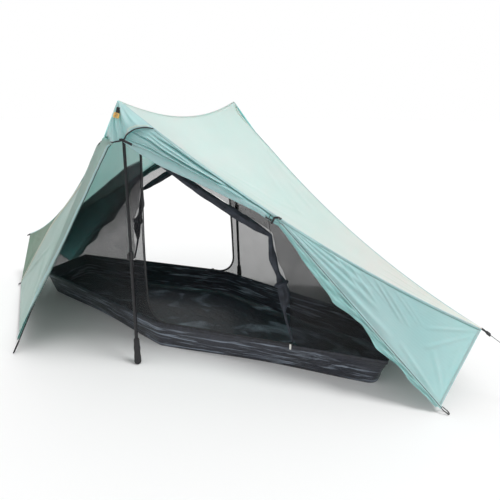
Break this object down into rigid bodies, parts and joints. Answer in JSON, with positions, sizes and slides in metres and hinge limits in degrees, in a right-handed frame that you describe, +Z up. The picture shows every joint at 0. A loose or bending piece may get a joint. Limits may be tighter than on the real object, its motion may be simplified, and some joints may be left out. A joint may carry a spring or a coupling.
{
  "type": "trekking pole tent",
  "caption": "Small shelter of mint green cloth pitched on trekking poles, its doors rolled open over net walls and a black bathtub floor.",
  "frame": {"origin": "middle of the floor's underside, on the ground", "axes": "+X along the floor, towards the end that the front door's rolled side lies on; +Y from the front door to the rear door; +Z up"},
  "size_m": [3.4288, 1.496, 1.2013],
  "materials": {
    "black_plastic": "moulded, satin",
    "black_webbing": "woven, matte",
    "canopy_cloth": "thin coated cloth, slightly glossy",
    "floor_cloth": "coated waterproof cloth with a sheen",
    "grip_foam": "soft moulded grip, matte",
    "net_cloth": "fine see-through insect netting",
    "pole_metal": "anodised black tube, satin",
    "yellow_plastic": "moulded, lightly glossy"
  },
  "bodies": {
    "canopy": {"bathtub_floor": "floor_cloth", "front_brow": "canopy_cloth", "front_door_roll": "canopy_cloth", "front_left_net": "net_cloth", "front_left_panel": "canopy_cloth", "front_left_stake_loop": "black_webbing", "front_net_bundle": "net_cloth", "front_net_zip": "black_plastic", "front_peak_line_lock": "yellow_plastic", "front_peak_pocket": "black_webbing", "front_peak_tab": "black_webbing", "front_right_net": "net_cloth", "front_right_panel": "canopy_cloth", "front_right_stake_loop": "black_webbing", "front_tie_cord": "black_webbing", "front_tip_shaft": "pole_metal", "left_end_net": "net_cloth", "left_end_tab": "black_webbing", "left_roof_panel": "canopy_cloth", "rear_brow": "canopy_cloth", "rear_door_roll": "canopy_cloth", "rear_left_net": "net_cloth", "rear_left_panel": "canopy_cloth", "rear_left_stake_loop": "black_webbing", "rear_net_bundle": "net_cloth", "rear_net_zip": "black_plastic", "rear_peak_line_lock": "yellow_plastic", "rear_peak_pocket": "black_webbing", "rear_peak_tab": "black_webbing", "rear_right_net": "net_cloth", "rear_right_panel": "canopy_cloth", "rear_right_stake_loop": "black_webbing", "rear_tie_cord": "black_webbing", "rear_tip_shaft": "pole_metal", "right_end_net": "net_cloth", "right_end_tab": "black_webbing", "right_guyline": "black_webbing", "right_roof_panel": "canopy_cloth"},
    "front_door_flap": {"front_flap": "canopy_cloth", "front_flap_zip": "black_plastic", "front_flap_loop": "black_webbing"},
    "front_flap_zip_slider": {"front_flap_slider": "black_plastic"},
    "front_net_zip_slider": {"front_net_slider": "black_plastic"},
    "front_pole_handle": {"front_pole_grip": "grip_foam", "front_handle_shaft": "pole_metal", "front_lock_clamp": "black_plastic"},
    "front_pole_lever": {"front_lock_lever": "black_plastic"},
    "front_door_toggle": {"front_toggle": "black_plastic"},
    "rear_door_flap": {"rear_flap": "canopy_cloth", "rear_flap_zip": "black_plastic", "rear_flap_loop": "black_webbing"},
    "rear_flap_zip_slider": {"rear_flap_slider": "black_plastic"},
    "rear_net_zip_slider": {"rear_net_slider": "black_plastic"},
    "rear_pole_handle": {"rear_pole_grip": "grip_foam", "rear_handle_shaft": "pole_metal", "rear_lock_clamp": "black_plastic"},
    "rear_pole_lever": {"rear_lock_lever": "black_plastic"},
    "rear_door_toggle": {"rear_toggle": "black_plastic"}
  },
  "joints": [
    {"name": "front_flap_swing", "type": "hinge", "parent": "canopy", "child": "front_door_flap", "pos_m": [-0.67564, -0.33587, 0.60278], "axis": [-0.741, 0.1427, -0.6562], "range_deg": [0, 75]},
    {"name": "front_flap_zip_slide", "type": "slide", "parent": "front_door_flap", "child": "front_flap_zip_slider", "axis": [-0.4497, -0.2009, -0.8703], "range_m": [0, 1.073]},
    {"name": "front_net_zip_slide", "type": "slide", "parent": "canopy", "child": "front_net_zip_slider", "axis": [0.9844, 0.1762, 0], "range_m": [-0.581, 0]},
    {"name": "front_pole_slide", "type": "slide", "parent": "canopy", "child": "front_pole_handle", "axis": [0, 0.0588, 0.9983], "range_m": [0, 0.3]},
    {"name": "front_lever_hinge", "type": "hinge", "parent": "front_pole_handle", "child": "front_pole_lever", "pos_m": [0, -0.50654, 0.53685], "axis": [1, 0, 0], "range_deg": [0, 95]},
    {"name": "front_toggle_turn", "type": "hinge", "parent": "canopy", "child": "front_door_toggle", "pos_m": [0.57915, -0.28721, 0.74537], "axis": [0.3831, -0.9106, 0.1552], "range_deg": [-30, 30]},
    {"name": "rear_flap_swing", "type": "hinge", "parent": "canopy", "child": "rear_door_flap", "pos_m": [0.67564, 0.33587, 0.60278], "axis": [0.741, -0.1427, -0.6562], "range_deg": [0, 75]},
    {"name": "rear_flap_zip_slide", "type": "slide", "parent": "rear_door_flap", "child": "rear_flap_zip_slider", "axis": [0.4497, 0.2009, -0.8703], "range_m": [0, 1.073]},
    {"name": "rear_net_zip_slide", "type": "slide", "parent": "canopy", "child": "rear_net_zip_slider", "axis": [-0.9844, -0.1762, 0], "range_m": [0, 0.573]},
    {"name": "rear_pole_slide", "type": "slide", "parent": "canopy", "child": "rear_pole_handle", "axis": [0, -0.0588, 0.9983], "range_m": [0, 0.3]},
    {"name": "rear_lever_hinge", "type": "hinge", "parent": "rear_pole_handle", "child": "rear_pole_lever", "pos_m": [0, 0.50654, 0.53685], "axis": [-1, 0, 0], "range_deg": [0, 95]},
    {"name": "rear_toggle_turn", "type": "hinge", "parent": "canopy", "child": "rear_door_toggle", "pos_m": [-0.57915, 0.28721, 0.74537], "axis": [-0.3831, 0.9106, 0.1552], "range_deg": [-30, 30]}
  ]
}
